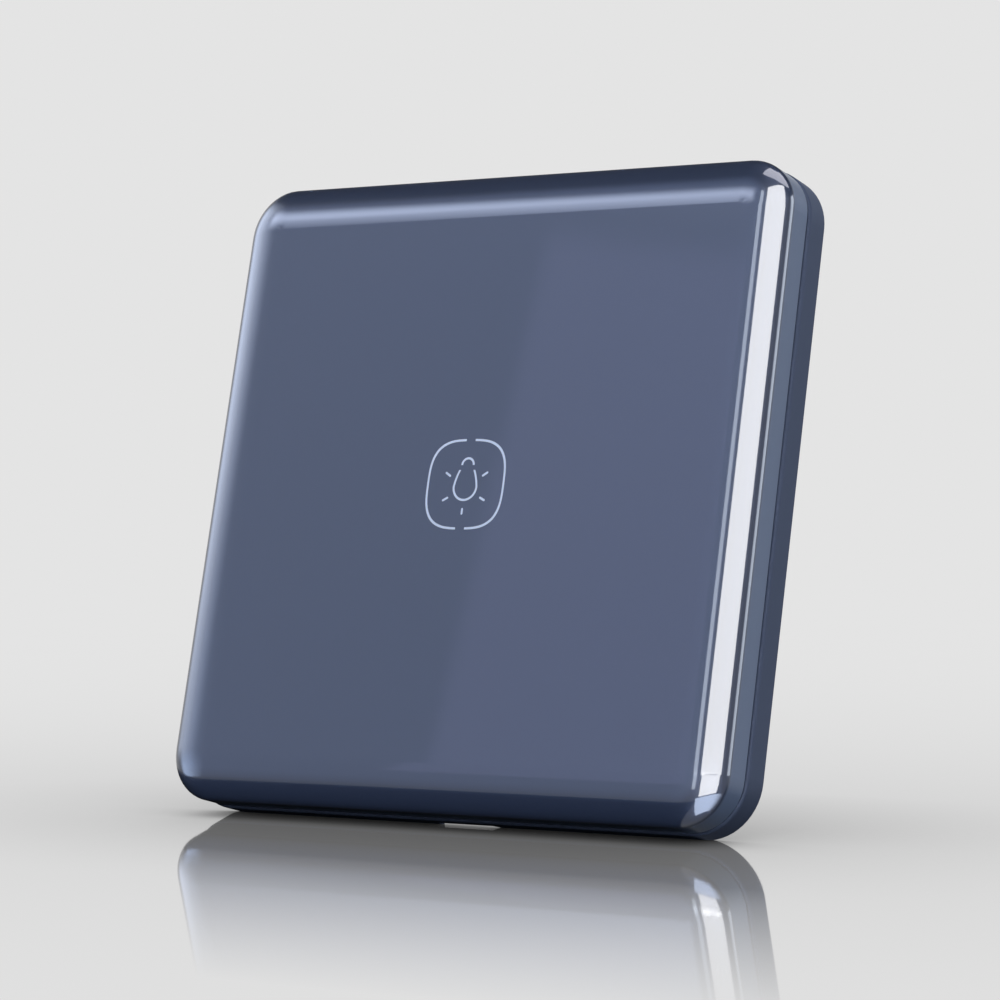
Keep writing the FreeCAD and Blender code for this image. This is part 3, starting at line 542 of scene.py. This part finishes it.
# pale polished floor under the lower edge, level in the photograph
floorLook = {
    "size": 6.0, "sunk": 0.0002,  # the frame's lower edge is sunk this far into it
    "shadeHalfWidth": 0.0405, "shadeCentre": 0.012, "shadeReach": 0.09, "shadeDepth": 0.2,
    "contactReach": 0.05, "contactDepth": 0.6, "contactSamples": 16,
    "mirrorShare": 1.147, "mirrorMost": 0.77, "mirrorReach": 0.1126, "mirrorEnd": 0.02,
    "mirrorRoughness": 0.04, "grazingFrom": 0.5, "grazingTo": 0.8,
    "mottle": 0.004, "mottleScale": 40.0,
    # the floor close to the plate is painted dark for the plate's own rays, as shade
    "nearPaintedShade": (0.03, 0.03, 0.03), "openFrom": 0.036, "openRing": (0.07, 0.1),
}


# painted soft shade around the foot of the plate, deeper where the two meet
def floorShade(tree, split):
    past = addMath(tree, "ABSOLUTE", split["X"])
    past = addMath(tree, "SUBTRACT", past, floorLook["shadeHalfWidth"])
    past = addMath(tree, "POWER", addMath(tree, "MAXIMUM", past, 0.0), 2.0)
    along = addMath(tree, "SUBTRACT", split["Y"], floorLook["shadeCentre"])
    apart = addMath(tree, "SQRT", addMath(tree, "MULTIPLY_ADD", along, along, past))
    falloff = addMath(tree, "DIVIDE", apart, -floorLook["shadeReach"])
    falloff = addMath(tree, "EXPONENT", falloff)
    paintedShadePool = addMath(tree, "MULTIPLY_ADD", falloff, -floorLook["shadeDepth"], 1.0)
    nearby = addNode(tree, "ShaderNodeAmbientOcclusion", samples=floorLook["contactSamples"])
    nearby.inputs["Distance"].default_value = floorLook["contactReach"]
    contact = addMath(tree, "POWER", nearby.outputs["AO"], floorLook["contactDepth"])
    return addMath(tree, "MULTIPLY", paintedShadePool, contact)


# how much of the plate's mirror image shows: it is gone a hand's width in front of the
# plate and just behind it, and only a low look along the floor sees it
def mirrorShare(tree, split):
    most = (0.0, floorLook["mirrorShare"])
    front = addRamp(tree, split["Y"], -floorLook["mirrorReach"], 0.0, most, straight=True)
    behind = addRamp(tree, split["Y"], 0.0, floorLook["mirrorEnd"], (1.0, 0.0))
    share = addMath(tree, "MULTIPLY", front, behind)
    share = addMath(tree, "MINIMUM", share, floorLook["mirrorMost"])
    facing = addNode(tree, "ShaderNodeLayerWeight").outputs["Facing"]
    low = addRamp(tree, facing, floorLook["grazingFrom"], floorLook["grazingTo"])
    return addMath(tree, "MULTIPLY", share, low)


# what the camera sees: pale, with the painted shade and the mirror image
def floorToEye(tree, place, split):
    level = floorShade(tree, split)
    mirror = addNode(tree, "ShaderNodeBsdfAnisotropic")
    mirror.inputs["Roughness"].default_value = floorLook["mirrorRoughness"]
    tree.links.new(level, mirror.inputs["Color"])
    mottle = addNode(tree, "ShaderNodeTexNoise")
    mottle.inputs["Scale"].default_value = floorLook["mottleScale"]
    tree.links.new(place, mottle.inputs["Vector"])
    lowest = paleLevel - floorLook["mottle"] / 2
    tone = addMath(tree, "MULTIPLY_ADD", mottle.outputs["Fac"], floorLook["mottle"], lowest)
    pale = addNode(tree, "ShaderNodeEmission")
    tree.links.new(addMath(tree, "MULTIPLY", level, tone), pale.inputs["Strength"])
    return mixShaders(tree, mirrorShare(tree, split), pale.outputs[0], mirror.outputs[0])


# what the plate sees: dark close by, a painted shade under the plate, and open further out,
# where the studio shows
def floorToPlate(tree, place, split, clear):
    # painted shade: the floor near the plate is dark for the plate's rays
    shadedNearFloor = addNode(tree, "ShaderNodeBsdfDiffuse")
    shadedNearFloor.inputs["Color"].default_value = (*floorLook["nearPaintedShade"], 1.0)
    reach = addNode(tree, "ShaderNodeVectorMath", operation="LENGTH")
    tree.links.new(place, reach.inputs[0])
    ring = addRamp(tree, reach.outputs["Value"], *floorLook["openRing"])
    corner = addMath(tree, "GREATER_THAN", split["X"], floorLook["openFrom"])
    seeThrough = addMath(tree, "MAXIMUM", ring, corner)
    return mixShaders(tree, seeThrough, shadedNearFloor.outputs[0], clear)


def makeFloor():
    side = floorLook["size"] / 2
    corners = [(-side, -side, 0.0), (side, -side, 0.0), (side, side, 0.0), (-side, side, 0.0)]
    mesh = bpy.data.meshes.new("floor")
    mesh.from_pydata(corners, [], [(0, 1, 2, 3)])
    material, tree, surface = bareMaterial("pale polished floor")
    place, split = addPlace(tree, "Object")
    isCamera = addNode(tree, "ShaderNodeLightPath").outputs["Is Camera Ray"]
    clear = addNode(tree, "ShaderNodeBsdfTransparent").outputs[0]
    toPlate = floorToPlate(tree, place, split, clear)
    above = mixShaders(tree, isCamera, toPlate, floorToEye(tree, place, split))
    # open from below, so that it hides nothing
    below = addNode(tree, "ShaderNodeNewGeometry").outputs["Backfacing"]
    tree.links.new(mixShaders(tree, below, above, clear), surface)
    mesh.materials.append(material)
    floor = bpy.data.objects.new("floor", mesh)
    up = Vector(cameraFit["up"])
    up = (up - up.project(Vector((1.0, 0.0, 0.0)))).normalized()
    floor.location = (0.0, 0.0, frameLow[2] + floorLook["sunk"])
    floor.rotation_euler = up.to_track_quat("Z", "Y").to_euler()
    scene.collection.objects.link(floor)


makeFloor()
print("floor laid")

print("scene ready")
